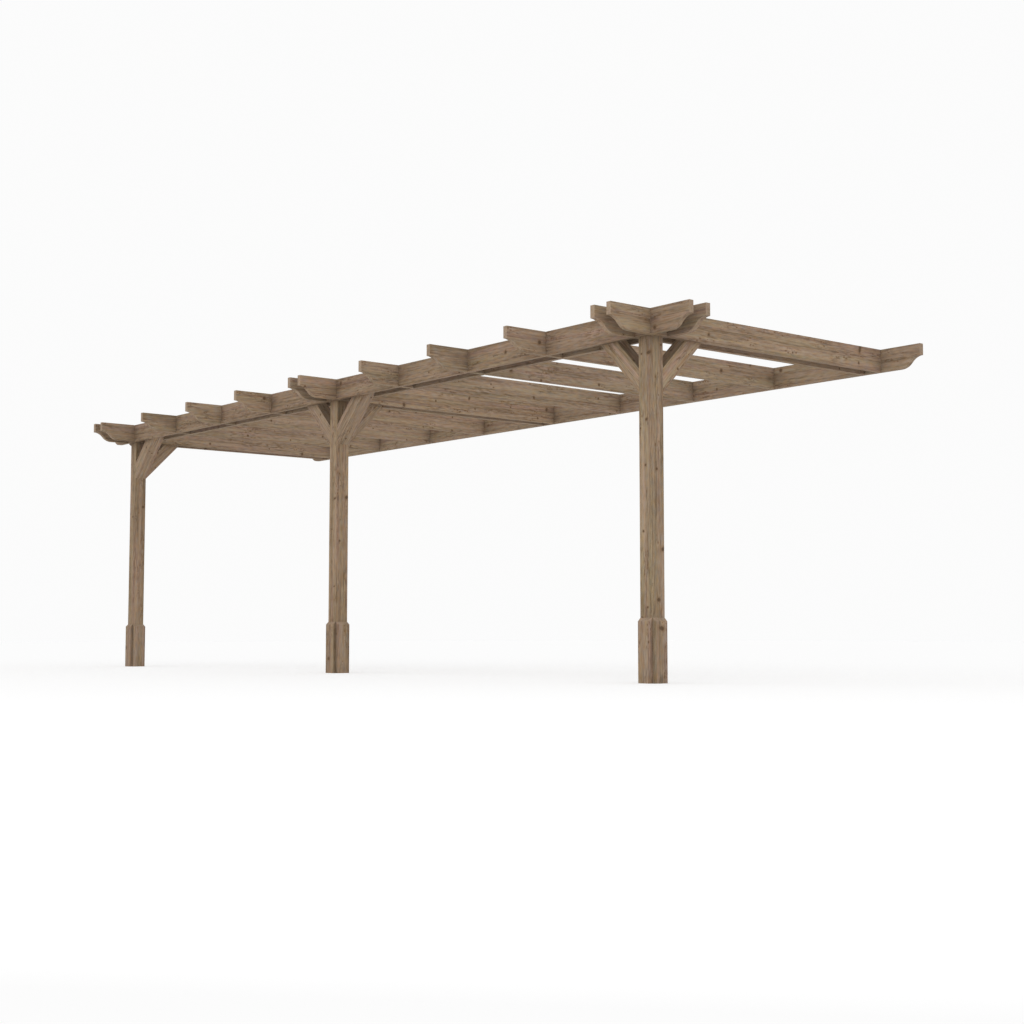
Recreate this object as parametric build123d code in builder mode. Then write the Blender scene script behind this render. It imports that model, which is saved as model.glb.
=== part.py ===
from build123d import *
from math import cos, radians, tan
import os

# A lean-to wooden pergola. Three posts in one row stand between the two boards of a doubled front beam,
# a wall plate is fixed to the wall, and rafters run from the plate over the front beam. All roof boards
# are of one depth and cross by halving joints, so that their tops and undersides are flush.
# Frame: the origin is the middle of the wall plate's back face, +X is to the right along the wall,
# +Y is into the wall and +Z is up. Lengths are in millimetres.

# Overall sizes
overall_length = 7200  # from tip to tip of the front beam and of the wall plate
overall_depth = 2400  # from the rafters' tips to the wall
headroom = 1955  # from the ground to the underside of the roof boards

# Roof boards
board_depth = 145
beam_thickness = 35
rafter_thickness = 35
plate_thickness = 35
end_overhang = 303  # of the front beam past the outermost rafters
front_overhang = 303  # of the rafters past the front beam
tail_run = 157  # length of the ogee cut under each tail
tail_rise = 72.5  # height of that cut, from the underside to the tail's end face
single_rafters = 3  # in each bay, between the pairs at the posts
halving_share = 0.5  # of the board depth, left standing in the beams at each crossing
joint_clearance = 0.3  # spare width of each halving slot

# Posts, knee braces and base boards
post_width = 97
brace_width = 97  # seen from the side, square to its length
brace_drop = 315  # from the roof boards' underside to the brace's toe on the post
brace_tongue = 100  # height of the brace's head between the doubled boards
brace_angle = 45  # degrees from the level
base_height = 365
base_thickness = 20
arris = 1  # eased edge along every length of timber
cut_overrun = 5  # how far cutting shapes reach past the timber

# Levels
top = board_depth / 2
underside = top - board_depth
shoulder = underside + board_depth * halving_share
ground = underside - headroom

# Places along the wall (X) and out from it (Y)
rafter_tips = -overall_depth
post_row = rafter_tips + front_overhang + beam_thickness + post_width / 2
post_spacing = overall_length / 2 - end_overhang - rafter_thickness - post_width / 2
post_places = {"left": -post_spacing, "middle": 0, "right": post_spacing}
beam_offset = (post_width + beam_thickness) / 2
beam_rows = {"outer": post_row - beam_offset, "inner": post_row + beam_offset}
pair_offset = (post_width + rafter_thickness) / 2
rafter_pitch = (post_spacing - 2 * pair_offset) / (single_rafters + 1)
rafter_places = []
for place in post_places.values():
    rafter_places += [place - pair_offset, place + pair_offset]
for bay_start in (post_places["left"], post_places["middle"]):
    for count in range(1, single_rafters + 1):
        rafter_places.append(bay_start + pair_offset + count * rafter_pitch)
rafter_places.sort()


def along_wall(y):
    """The upright plane at y, with local x along the wall and local y up."""
    return Plane.XZ.offset(-y)


def from_wall(x):
    """The upright plane at x, with local x towards the wall and local y up."""
    return Plane.YZ.offset(x)


def save(piece, name):
    """Label a finished piece and write it under its name."""
    piece.part.label = name
    export_step(piece.part, f"parts/{name}.step")


def ogee(tip, inward):
    """Draw the cut under a tail: two equal arcs, level at both ends, that meet halfway."""
    halfway = (tip + inward * tail_run / 2, underside + tail_rise / 2)
    TangentArc((tip, underside + tail_rise), halfway, tangent=(inward, 0))
    TangentArc((tip + inward * tail_run, underside), halfway, tangent=(-inward, 0))


def board_side(start, end, both_tailed):
    """Draw a roof board's side, with a tail at its start and a tail or a square cut at its end."""
    ogee(start, 1)
    Polyline((start, underside + tail_rise), (start, top), (end, top))
    if both_tailed:
        ogee(end, -1)
        Line((end, top), (end, underside + tail_rise))
        Line((start + tail_run, underside), (end - tail_run, underside))
    else:
        Polyline((end, top), (end, underside), (start + tail_run, underside))


def halving_slots(places, crossing_thickness, low, high):
    """Draw the slots for the boards that cross at these places."""
    with Locations(*[(place, (low + high) / 2) for place in places]):
        Rectangle(crossing_thickness + joint_clearance, high - low)


def brace_side(post_face, away):
    """Draw a brace's side: a plumb cut on the post's face and a level cut at its head."""
    toe = underside - brace_drop
    heel = toe + brace_width / cos(radians(brace_angle))
    head = underside + brace_tongue
    rise_per_run = tan(radians(brace_angle))
    Polyline(
        (post_face, toe),
        (post_face, heel),
        (post_face + away * (head - heel) / rise_per_run, head),
        (post_face + away * (head - toe) / rise_per_run, head),
        close=True,
    )


os.makedirs("parts", exist_ok=True)

# Posts, square timber from the ground to the top of the roof boards
for side, place in post_places.items():
    with BuildPart() as post:
        with BuildSketch(Plane.XY.offset(ground)):
            with Locations((place, post_row)):
                Rectangle(post_width, post_width)
        extrude(amount=headroom + board_depth)
        chamfer(post.edges().filter_by(Axis.Z), length=arris)
    save(post, f"{side}_post")

# Base boards, one on the flat of each face of each post, with the top edge bevelled down from the post
base_faces = {
    "front": -Axis.Y.direction,
    "right": Axis.X.direction,
    "back": Axis.Y.direction,
    "left": -Axis.X.direction,
}
base_width = post_width - 2 * arris
base_inside = post_width / 2
base_outside = base_inside + base_thickness
for side, place in post_places.items():
    for face, outward in base_faces.items():
        base_plane = Plane((place, post_row, ground), x_dir=outward, z_dir=outward.cross(Axis.Z.direction))
        with BuildPart() as base_board:
            with BuildSketch(base_plane):
                with BuildLine():
                    Polyline(
                        (base_inside, 0),
                        (base_outside, 0),
                        (base_outside, base_height - base_thickness),
                        (base_inside, base_height),
                        close=True,
                    )
                make_face()
            extrude(amount=base_width / 2, both=True)
        save(base_board, f"{side}_post_base_board_{face}")

# Front beams, slotted from above for every rafter
for row, y in beam_rows.items():
    with BuildPart() as beam:
        with BuildSketch(along_wall(y)):
            with BuildLine():
                board_side(-overall_length / 2, overall_length / 2, True)
            make_face()
        extrude(amount=beam_thickness / 2, both=True)
        chamfer(beam.faces().filter_by(Axis.Y).edges(), length=arris)
        with BuildSketch(along_wall(y)):
            halving_slots(rafter_places, rafter_thickness, shoulder, top + cut_overrun)
        extrude(amount=beam_thickness / 2 + cut_overrun, both=True, mode=Mode.SUBTRACT)
    save(beam, f"front_beam_{row}")

# Wall plate, a plain board with a tail at each end
with BuildPart() as wall_plate:
    with BuildSketch(along_wall(-plate_thickness / 2)):
        with BuildLine():
            board_side(-overall_length / 2, overall_length / 2, True)
        make_face()
    extrude(amount=plate_thickness / 2, both=True)
    chamfer(wall_plate.faces().filter_by(Axis.Y).edges(), length=arris)
save(wall_plate, "wall_plate")

# Rafters, slotted from below to drop over the front beam, and butted on the wall plate
for number, place in enumerate(rafter_places, start=1):
    with BuildPart() as rafter:
        with BuildSketch(from_wall(place)):
            with BuildLine():
                board_side(rafter_tips, -plate_thickness, False)
            make_face()
        extrude(amount=rafter_thickness / 2, both=True)
        chamfer(rafter.faces().filter_by(Axis.X).edges(), length=arris)
        with BuildSketch(from_wall(place)):
            halving_slots(beam_rows.values(), beam_thickness, underside - cut_overrun, shoulder)
        extrude(amount=rafter_thickness / 2 + cut_overrun, both=True, mode=Mode.SUBTRACT)
    save(rafter, f"rafter_{number:02d}")

# Knee braces along the front beam, as thick as the posts, with their heads between its two boards
for side, ways in {"left": ("right",), "middle": ("left", "right"), "right": ("left",)}.items():
    for way in ways:
        away = {"left": -1, "right": 1}[way]
        with BuildPart() as brace:
            with BuildSketch(along_wall(post_row)):
                with BuildLine():
                    brace_side(post_places[side] + away * post_width / 2, away)
                make_face()
            extrude(amount=post_width / 2, both=True)
        save(brace, f"{side}_post_brace_{way}")

# Knee braces towards the wall, with their heads between the paired rafters
for side, place in post_places.items():
    with BuildPart() as brace:
        with BuildSketch(from_wall(place)):
            with BuildLine():
                brace_side(post_row + post_width / 2, 1)
            make_face()
        extrude(amount=post_width / 2, both=True)
    save(brace, f"{side}_post_brace_back")
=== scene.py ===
import math

import bpy
import numpy as np
from mathutils import Matrix, Vector


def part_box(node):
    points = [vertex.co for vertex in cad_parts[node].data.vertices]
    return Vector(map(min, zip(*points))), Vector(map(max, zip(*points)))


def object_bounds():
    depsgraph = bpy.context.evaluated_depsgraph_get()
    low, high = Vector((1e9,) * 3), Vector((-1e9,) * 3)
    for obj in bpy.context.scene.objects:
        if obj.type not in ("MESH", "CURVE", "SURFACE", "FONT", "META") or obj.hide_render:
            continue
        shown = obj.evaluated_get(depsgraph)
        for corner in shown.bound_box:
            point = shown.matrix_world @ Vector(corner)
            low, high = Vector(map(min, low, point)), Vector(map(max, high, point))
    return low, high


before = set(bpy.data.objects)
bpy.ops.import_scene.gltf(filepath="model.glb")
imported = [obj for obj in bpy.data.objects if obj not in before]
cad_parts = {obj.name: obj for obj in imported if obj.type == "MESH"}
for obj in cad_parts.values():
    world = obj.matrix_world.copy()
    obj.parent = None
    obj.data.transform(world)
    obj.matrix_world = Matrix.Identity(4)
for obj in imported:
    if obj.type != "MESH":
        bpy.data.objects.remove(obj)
cad_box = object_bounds()


# Posts
# Three square posts of planed softwood, dipped in a brown preservative. Each is cut with the pith near its
# middle, so knots run out to all four faces. They stand on the ground, and their heads are held between
# the boards of the front beam.
class Shade:
    """One output socket in a material. Sums and products of shades add Math nodes."""

    def __init__(self, tree, socket=None):
        self.tree = tree
        self.socket = socket

    def node(self, kind, settings, values, output=0):
        """Add a node: its settings first, then a value or a link for each named input."""
        made = self.tree.nodes.new(kind)
        for name, setting in settings.items():
            setattr(made, name, setting)
        for name, value in values.items():
            if isinstance(value, Shade):
                self.tree.links.new(value.socket, made.inputs[name])
            else:
                made.inputs[name].default_value = value
        return Shade(self.tree, made.outputs[output] if made.outputs else None)

    def maths(self, operation, *values):
        """The result of one Math operation on these values."""
        return self.node("ShaderNodeMath", {"operation": operation}, dict(enumerate(values)))

    def __add__(self, other):
        return self.maths("ADD", self, other)

    def __sub__(self, other):
        return self.maths("SUBTRACT", self, other)

    def __rsub__(self, other):
        return self.maths("SUBTRACT", other, self)

    def __mul__(self, other):
        return self.maths("MULTIPLY", self, other)

    def __truediv__(self, other):
        return self.maths("DIVIDE", self, other)

    __radd__ = __add__
    __rmul__ = __mul__

    def parts(self):
        """The three numbers of a vector or colour."""
        split = self.node("ShaderNodeSeparateXYZ", {}, {"Vector": self})
        return [Shade(self.tree, socket) for socket in split.socket.node.outputs]

    def vector(self, x, y, z):
        """Three numbers as one vector."""
        return self.node("ShaderNodeCombineXYZ", {}, {"X": x, "Y": y, "Z": z})

    def step(self, low, high):
        """0 below low and 1 above high, with a smooth rise between; low may be the larger."""
        ends = {"Value": self, "From Min": low, "From Max": high}
        return self.node("ShaderNodeMapRange", {"interpolation_type": "SMOOTHSTEP"}, ends)

    def noise(self, detail, output="Fac"):
        """Perlin noise at this vector, about noise_middle."""
        return self.node("ShaderNodeTexNoise", {}, {"Vector": self, "Scale": 1.0, "Detail": detail}, output)

    def blend(self, first, second):
        """A colour between two, by this share."""
        return self.node("ShaderNodeMix", {"data_type": "RGBA"}, {0: self, 6: first, 7: second}, 2)


noise_middle = 0.5
timber_seed = 24
draws = np.random.default_rng(timber_seed)


class Timber:
    """A solid texture of treated softwood, laid along one piece.

    u runs along the grain from the middle of the piece, v and w across it. Everything is worked out from
    these and from the pith, the middle of the tree, which lies in or beside the piece. Lengths are in
    metres, and a shift along the grain keeps like patterns from falling together.
    """

    def __init__(self, piece, along, pith_reach, pith_spread):
        """Lay the grain along the piece, with the pith at a drawn reach and angle from its middle."""
        low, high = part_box(piece)
        middle = (low + high) / 2
        self.grain = Vector(along).normalized()
        across = Vector((0, 0, 1)).cross(self.grain)
        across = across.normalized() if across.length else Vector((0, 1, 0))
        turn = Matrix((self.grain, across, self.grain.cross(across)))
        pith_angle = draws.uniform(-pith_spread, pith_spread) + math.pi * draws.integers(2)
        pith_way = Vector((0, math.cos(pith_angle), math.sin(pith_angle)))
        self.pith = pith_way * draws.uniform(*pith_reach)
        longest_shift = 90
        self.seed = draws.uniform(0, longest_shift)

        self.look = bpy.data.materials.new(f"{piece}_timber")
        self.look.use_nodes = True
        self.look.node_tree.nodes.clear()
        self.start = Shade(self.look.node_tree)
        place = self.start.node("ShaderNodeTexCoord", {}, {}, "Object")
        laid = {"Vector": place, "Rotation": turn.to_euler(), "Location": turn @ -middle}
        self.u, self.v, self.w = self.start.node("ShaderNodeMapping", {"vector_type": "POINT"}, laid).parts()
        self.find_pith()
        self.find_knots()

    def drawn_out(self, length, width, shift=0.0):
        """Noise about 0 in patches of this length along the grain and this width across it."""
        spot = self.start.vector(self.u / length + self.seed + shift, self.v / width, self.w / width)
        return spot.noise(detail=2.0) - noise_middle

    def find_pith(self):
        """Distance and bearing from the pith, which wanders along its length, so faces show arches."""
        wander_pitch, wander_reach = 1.8, 0.045
        spot = self.start.vector(self.u / wander_pitch + self.seed, 0.0, 0.0)
        v_wander, w_wander, _ = spot.noise(detail=1.0, output="Color").parts()
        v_pith = self.v - self.pith.y + (v_wander - noise_middle) * wander_reach
        w_pith = self.w - self.pith.z + (w_wander - noise_middle) * wander_reach
        self.radius = self.start.maths("SQRT", v_pith * v_pith + w_pith * w_pith)
        self.bearing = self.start.maths("ARCTAN2", w_pith, v_pith)

    def find_knots(self):
        """Branches run out and up from the pith in whorls, evenly round it, each whorl turned by a draw.

        A branch has its own height in the whorl. It thickens from the pith up to a size of its own, and the
        thinnest are left out. A knot, its rim and the swirl round it are the gap to the branch's middle over
        that size, stepped off.
        """
        whorl_pitch, branches = 0.36, 5
        lowest_share, height_share = 0.25, 0.5
        rise, taper = 0.2, 0.16
        least_size, spare_size, raggedness = 0.004, 0.007, 0.9
        bare_share, bare_blur = 0.2, 0.02
        sector = math.tau / branches
        start = self.start
        height = self.u / whorl_pitch + self.seed
        whorl = start.maths("FLOOR", height)
        by_whorl = {"noise_dimensions": "1D"}
        whorl_draw = start.node("ShaderNodeTexWhiteNoise", by_whorl, {"W": whorl}, "Value")
        turned = self.bearing + whorl_draw * math.tau
        count = start.maths("ROUND", turned / sector)
        swing = turned - count * sector
        branch = start.vector(whorl, start.maths("FLOORED_MODULO", count, branches), 0.0)
        by_branch = {"noise_dimensions": "2D"}
        branch_draw = start.node("ShaderNodeTexWhiteNoise", by_branch, {"Vector": branch}, "Color")
        size_draw, height_draw, _ = branch_draw.parts()
        middle = lowest_share + height_draw * height_share
        along_gap = (start.maths("FRACT", height) - middle) * whorl_pitch - self.radius * rise
        side_gap = self.radius * start.maths("SINE", swing)
        gap = start.maths("SQRT", along_gap * along_gap + side_gap * side_gap)
        full_size = least_size + size_draw * size_draw * spare_size
        ratio = gap / start.maths("MINIMUM", self.radius * taper, full_size)
        ragged = ratio + self.drawn_out(length=0.02, width=0.012) * raggedness
        shown = size_draw.step(low=bare_share, high=bare_share + bare_blur)
        self.knot = ragged.step(low=1.35, high=0.7) * shown
        self.knot_rim = ragged.step(low=2.6, high=0.9) * shown
        self.swirl = ratio.step(low=3.4, high=0.4) * shown

    def find_rings(self):
        """Growth rings: the distance from the pith in ring widths, wavering and swollen round the knots.

        Each ring darkens slowly to its late wood and ends sharply, by a strength of its own.
        """
        ring_width, waver_reach, swell_reach = 0.0085, 0.014, 0.010
        waver = self.drawn_out(length=0.8, width=0.06) * waver_reach
        count = (self.radius + waver + self.swirl * swell_reach) / ring_width
        season = self.start.maths("FRACT", count)
        year = {"W": self.start.maths("FLOOR", count)}
        strength = self.start.node("ShaderNodeTexWhiteNoise", {"noise_dimensions": "1D"}, year, "Value")
        return season.step(low=0.1, high=0.85) * season.step(low=1.0, high=0.88) * strength

    def find_pin_knots(self):
        """Little knots where the wood is busy: the gap to the nearest cell's middle over a size of its own.

        Each has a depth of colour of its own too.
        """
        cell_length, cell_width, raggedness = 0.024, 0.013, 0.5
        least_size, spare_size = 0.14, 0.34
        least_depth, spare_depth = 0.4, 0.6
        ragged = self.drawn_out(length=0.012, width=0.006, shift=11.0) * raggedness
        along, across = self.u / cell_length + ragged, self.v / cell_width + ragged
        cell = {"Vector": self.start.vector(along, across, self.w / cell_width), "Scale": 1.0}
        gap = self.start.node("ShaderNodeTexVoronoi", {}, cell, "Distance")
        size_draw, depth_draw, _ = Shade(gap.tree, gap.socket.node.outputs["Color"]).parts()
        size = least_size + size_draw * size_draw * spare_size
        depth = least_depth + depth_draw * spare_depth
        return (gap / size).step(low=1.3, high=0.6) * depth * self.busy.step(low=0.2, high=0.8)

    def tint(self, *colour):
        """A colour of the wood, times this piece's cast."""
        return [*(np.array(colour) * self.cast), 1.0]

    def plain_wood(self):
        """Pale to dark by the sum of the grain's patterns, then turned in hue.

        Flecks gather where the wood is busy. The hue turns warm in short dashes and mauve in long bands,
        each by its share of red, green and blue.
        """
        self.rings = self.find_rings()
        self.streak = self.drawn_out(length=0.55, width=0.019)
        self.fibre = self.drawn_out(length=0.07, width=0.0026, shift=5.0)
        self.busy = self.drawn_out(length=0.20, width=0.06, shift=31.0).step(low=0.0, high=0.14)
        band = self.drawn_out(length=2.6, width=0.055, shift=71.0)
        stain = self.drawn_out(length=0.35, width=0.09, shift=43.0)
        fleck = self.drawn_out(length=0.055, width=0.010, shift=17.0)
        mean_darkness, ring_depth, band_depth, streak_depth = 0.45, 0.18, 0.7, 0.9
        fibre_depth, stain_depth, busy_depth, calm_fleck_depth, busy_fleck_depth = 0.6, 0.3, 0.05, 0.7, 1.0
        darkness = mean_darkness + self.rings * ring_depth + band * band_depth + self.streak * streak_depth
        darkness = darkness + self.fibre * fibre_depth + stain * stain_depth + self.busy * busy_depth
        darkness = darkness + fleck * (calm_fleck_depth + self.busy * busy_fleck_depth)
        pale, dark = self.tint(0.404, 0.292, 0.200), self.tint(0.181, 0.120, 0.074)
        colour = darkness.step(low=0.0, high=1.0).blend(pale, dark)

        warm = self.drawn_out(length=0.05, width=0.016, shift=59.0)
        mauve = self.drawn_out(length=0.90, width=0.030, shift=97.0)
        warm_shares, mauve_shares = (0.34, -0.08, -0.75), (0.15, -0.13, 0.26)
        shares = zip(warm_shares, mauve_shares)
        hue = [1.0 + warm * to_warm + mauve * to_mauve for to_warm, to_mauve in shares]
        turned = {0: colour, 1: self.start.vector(*hue)}
        return self.start.node("ShaderNodeVectorMath", {"operation": "MULTIPLY"}, turned)

    def marked(self, colour):
        """Pale and amber resin, pin knots, and the knots with their rims, each laid over by its share."""
        resin = self.drawn_out(length=0.28, width=0.013, shift=83.0)
        pale_resin, amber = self.tint(0.415, 0.315, 0.215), self.tint(0.265, 0.152, 0.078)
        pin_knot_brown = self.tint(0.172, 0.093, 0.045)
        rim_brown, knot_brown = [0.205, 0.120, 0.062, 1.0], [0.100, 0.061, 0.034, 1.0]
        pale_resin_share, amber_share, pin_knot_share, rim_share, knot_share = 0.4, 0.6, 0.9, 0.6, 0.85
        colour = (resin.step(low=0.04, high=0.12) * pale_resin_share).blend(colour, pale_resin)
        colour = (resin.step(low=0.12, high=0.20) * amber_share).blend(colour, amber)
        colour = (self.find_pin_knots() * pin_knot_share).blend(colour, pin_knot_brown)
        colour = (self.knot_rim * rim_share).blend(colour, rim_brown)
        return (self.knot * knot_share).blend(colour, knot_brown)

    def sawn_and_painted_shade(self, colour, painted_shade):
        """Paler where a face is sawn across the grain, and painted shade where other timber is close."""
        start = self.start
        sawn_pale, sawn_share = self.tint(0.44, 0.33, 0.24), 0.4
        # painted shade: a dark brown laid over the colour where other timber is close, standing in for the
        # shade in corners, gaps and slots
        painted_shade_brown, painted_shade_reach = self.tint(0.080, 0.056, 0.038), 0.35
        facing = {0: start.node("ShaderNodeTexCoord", {}, {}, "Normal"), 1: self.grain}
        endwise = start.node("ShaderNodeVectorMath", {"operation": "DOT_PRODUCT"}, facing, "Value")
        sawn = start.maths("ABSOLUTE", endwise).step(low=0.25, high=0.95)
        colour = (sawn * sawn_share).blend(colour, sawn_pale)
        near = {"Distance": painted_shade_reach}
        # ambient occlusion measures how open the face is; the less open it is, the more painted shade is
        # mixed in
        openness = start.node("ShaderNodeAmbientOcclusion", {"samples": 8}, near, "AO")
        return ((1.0 - openness).step(low=0.0, high=1.0) * painted_shade).blend(colour, painted_shade_brown)

    def finish(self, cast, painted_shade):
        """The whole look: colours tinted by the cast and the piece's own draws, with raised grain."""
        tone = draws.uniform(0.98, 1.02)
        warmth = draws.uniform(-0.015, 0.015)
        self.cast = np.array(cast) * (1 + warmth, 1, 1 - warmth) * tone
        # the colour is darkened by painted shade in corners, gaps and slots, as strongly as the last
        # argument says
        colour = self.sawn_and_painted_shade(self.marked(self.plain_wood()), painted_shade)

        fibre_height, ring_height, streak_height, knot_hollow = 0.5, 0.35, 0.3, 0.3
        height = self.fibre * fibre_height + self.rings * ring_height + self.streak * streak_height
        raised = {"Strength": 0.3, "Distance": 0.0015, "Height": height - self.knot * knot_hollow}
        bump = self.start.node("ShaderNodeBump", {}, raised)
        least_roughness, spare_roughness = 0.55, 0.3
        mean_dryness, fibre_dryness, ring_dryness = 0.72, 0.2, 0.06
        dryness = mean_dryness + self.fibre * fibre_dryness - self.rings * ring_dryness
        roughness = dryness.step(low=0.0, high=1.0) * spare_roughness + least_roughness
        planed = {"Base Color": colour, "Roughness": roughness, "Normal": bump, "Specular IOR Level": 0.2}
        shader = self.start.node("ShaderNodeBsdfPrincipled", {}, planed)
        self.start.node("ShaderNodeOutputMaterial", {}, {"Surface": shader})
        return self.look


def dress(piece, along, cut, cast, painted_shade):
    """Give a CAD piece timber of its own, with the grain along it."""
    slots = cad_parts[piece].data.materials
    slots.clear()
    # the last argument sets how dark the painted shade is where other timber is close
    slots.append(Timber(piece, along, **cut).finish(cast, painted_shade))


upright = (0, 0, 1)
heart_cut = {"pith_reach": (0.02, 0.05), "pith_spread": math.pi}
sides = ("left", "middle", "right")
for side in sides:
    dress(f"{side}_post", upright, heart_cut, cast=(1.0, 1.0, 0.97), painted_shade=0.5)

# Base boards
# Short boards of the same treated softwood on the four faces of each post, standing on the ground. Their
# top edge is bevelled down and out from the post, and they are nailed to it.
side_cut = {"pith_reach": (0.06, 0.11), "pith_spread": 0.7}
for side in sides:
    for face in ("front", "right", "back", "left"):
        base_board = f"{side}_post_base_board_{face}"
        dress(base_board, upright, side_cut, cast=(0.965, 0.96, 0.965), painted_shade=1.0)

# Front beams
# Two long joists on edge, one on each side of the posts, with an ogee tail sawn at each end. They are
# slotted from above for the rafters and bolted through the posts.
along_wall = (1, 0, 0)
for row in ("outer", "inner"):
    dress(f"front_beam_{row}", along_wall, side_cut, cast=(0.90, 0.895, 0.90), painted_shade=0.55)

# Wall plate
# A joist of the same section, tailed at both ends and bolted flat on the wall, with its top level with
# the front beams.
dress("wall_plate", along_wall, side_cut, cast=(0.93, 0.92, 0.92), painted_shade=0.55)

# Rafters
# Joists on edge, paired at the posts and single between them. Each drops into the slots of the front
# beams, ends in an ogee tail in front of them, and is butted and screwed to the wall plate.
towards_wall = (0, 1, 0)
for piece in sorted(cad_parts):
    if piece.startswith("rafter_"):
        dress(piece, towards_wall, side_cut, cast=(1.0, 1.0, 1.0), painted_shade=0.55)

# Knee braces
# Short lengths of post timber at 45 degrees, cut plumb against the post and level at the head, which is
# held between the doubled boards. The grain runs along the slope.
brace_slopes = {"left": (-1, 0, 1), "right": (1, 0, 1), "back": (0, 1, 1)}
for piece in sorted(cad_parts):
    if "_brace_" in piece:
        slope = brace_slopes[piece.rsplit("_", 1)[1]]
        dress(piece, slope, heart_cut, cast=(1.025, 1.025, 1.02), painted_shade=0.2)

# Studio
# A wide floor of white paper at the posts' feet, a soft white surround that is a little brighter in front,
# and one broad, weak lamp in front of the right end. The camera sees the paper lifted to white, with its
# shadows, and an even white surround.
ground = cad_box[0][2]
floor_reach = 60.0
corners = np.array([(-1, -1, 0), (1, -1, 0), (1, 1, 0), (-1, 1, 0)]) * floor_reach + (0, 0, ground)
floor_mesh = bpy.data.meshes.new("floor")
floor_mesh.from_pydata(corners.tolist(), [], [(0, 1, 2, 3)])
floor = bpy.data.objects.new("floor", floor_mesh)
bpy.context.scene.collection.objects.link(floor)
floor.visible_shadow = False  # the floor doesn't count in the painted shade at the posts' feet
floor_look = bpy.data.materials.new("floor")
floor_look.use_nodes = True
floor_look.node_tree.nodes.clear()
full_white = [1.0, 1.0, 1.0, 1.0]
paper_white = [0.88, 0.88, 0.875, 1.0]
shadow_grey = [0.70, 0.70, 0.70, 1.0]
shadow_lift = 0.345
paper = Shade(floor_look.node_tree)
seen = paper.node("ShaderNodeLightPath", {}, {}, "Is Camera Ray")
shadowed = paper.node("ShaderNodeBsdfDiffuse", {}, {"Color": shadow_grey})
lifted = paper.node("ShaderNodeEmission", {}, {"Color": full_white, "Strength": shadow_lift})
seen_paper = paper.node("ShaderNodeAddShader", {}, {0: shadowed, 1: lifted})
plain_paper = paper.node("ShaderNodeBsdfDiffuse", {}, {"Color": paper_white})
mixed = paper.node("ShaderNodeMixShader", {}, {0: seen, 1: plain_paper, 2: seen_paper})
paper.node("ShaderNodeOutputMaterial", {}, {"Surface": mixed})
floor_mesh.materials.append(floor_look)

world = bpy.data.worlds.new("studio")
bpy.context.scene.world = world
world.use_nodes = True
world.node_tree.nodes.clear()
shown_white = [0.97, 0.97, 0.97, 1.0]
surround_level, front_gain, horizon_blur = 0.90, 0.18, 0.01
brighter_way = (0.2, -0.98, 0.0)
surround = Shade(world.node_tree)
seen = surround.node("ShaderNodeLightPath", {}, {}, "Is Camera Ray")
glossy = surround.node("ShaderNodeLightPath", {}, {}, "Is Glossy Ray")
passing = surround.node("ShaderNodeLightPath", {}, {}, "Is Transmission Ray")
shown = surround.maths("MAXIMUM", seen, surround.maths("MAXIMUM", glossy, passing))
way = surround.node("ShaderNodeTexCoord", {}, {}, "Generated")
leaning = {0: way, 1: brighter_way}
lean = surround.node("ShaderNodeVectorMath", {"operation": "DOT_PRODUCT"}, leaning, "Value")
_, _, rise = way.parts()
brightness = (surround_level + lean * front_gain) * rise.step(low=-horizon_blur, high=horizon_blur)
lit = surround.node("ShaderNodeBackground", {}, {"Color": full_white, "Strength": brightness})
white = surround.node("ShaderNodeBackground", {}, {"Color": shown_white, "Strength": 1.0})
mixed = surround.node("ShaderNodeMixShader", {}, {0: shown, 1: lit, 2: white})
surround.node("ShaderNodeOutputWorld", {}, {"Surface": mixed})

lamp_place, lamp_aim = Vector((8.0, -7.5, 0.5)), Vector((3.0, -2.0, -1.0))
lamp_data = bpy.data.lights.new("soft lamp", "AREA")
lamp_data.energy = 45.0
lamp_data.size = 4.0
lamp = bpy.data.objects.new("soft lamp", lamp_data)
lamp.location = lamp_place
lamp.rotation_euler = (lamp_aim - lamp_place).to_track_quat("-Z", "Y").to_euler()
bpy.context.scene.collection.objects.link(lamp)

# Camera
# A low standing point in front of the right end, looking a little up, as the photograph was taken. The
# angles are in degrees: the tilt from looking straight down, and the turn to the left of facing the wall.
level_tilt, upward_tilt, left_turn = 90, 4.4656, 50.6849
camera_data = bpy.data.cameras.new("camera")
camera_data.lens = 55.8285
camera_data.sensor_width = 36.0
camera = bpy.data.objects.new("camera", camera_data)
camera.location = (9.614, -8.2732, -1.7644)
camera.rotation_euler = (math.radians(level_tilt + upward_tilt), 0, math.radians(left_turn))
bpy.context.scene.collection.objects.link(camera)
bpy.context.scene.camera = camera
bpy.context.scene.view_settings.view_transform = "Standard"
